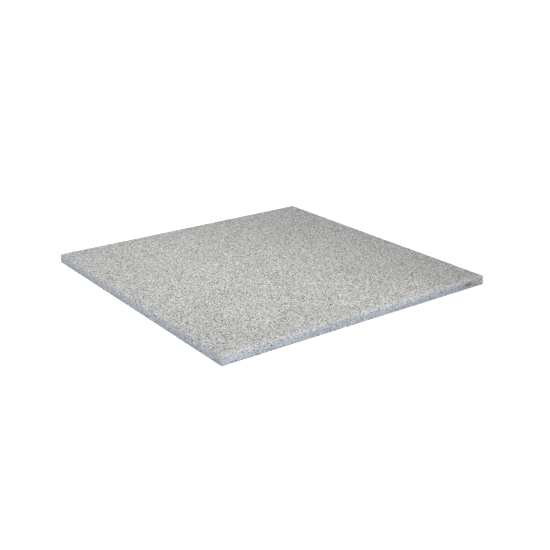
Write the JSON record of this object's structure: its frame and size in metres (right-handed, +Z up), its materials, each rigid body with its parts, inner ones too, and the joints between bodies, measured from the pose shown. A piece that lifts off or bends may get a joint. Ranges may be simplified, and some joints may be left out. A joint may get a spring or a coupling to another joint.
{
  "type": "granite paver",
  "caption": "Square slab of light grey granite for paving, with a flamed wearing face, sawn edges and back, and lightly broken arrises.",
  "frame": {"origin": "middle of the sawn bedding face, which is the underside", "axes": "+Z up through the thickness, out of the flamed wearing face; +X and +Y square to two neighbouring edges"},
  "size_m": [1, 1, 0.03],
  "materials": {
    "granite": "light grey, salt-and-pepper grain; flamed wearing face, diamond-sawn edges and back"
  },
  "bodies": {
    "root": {"paver": "granite"}
  },
  "joints": []
}
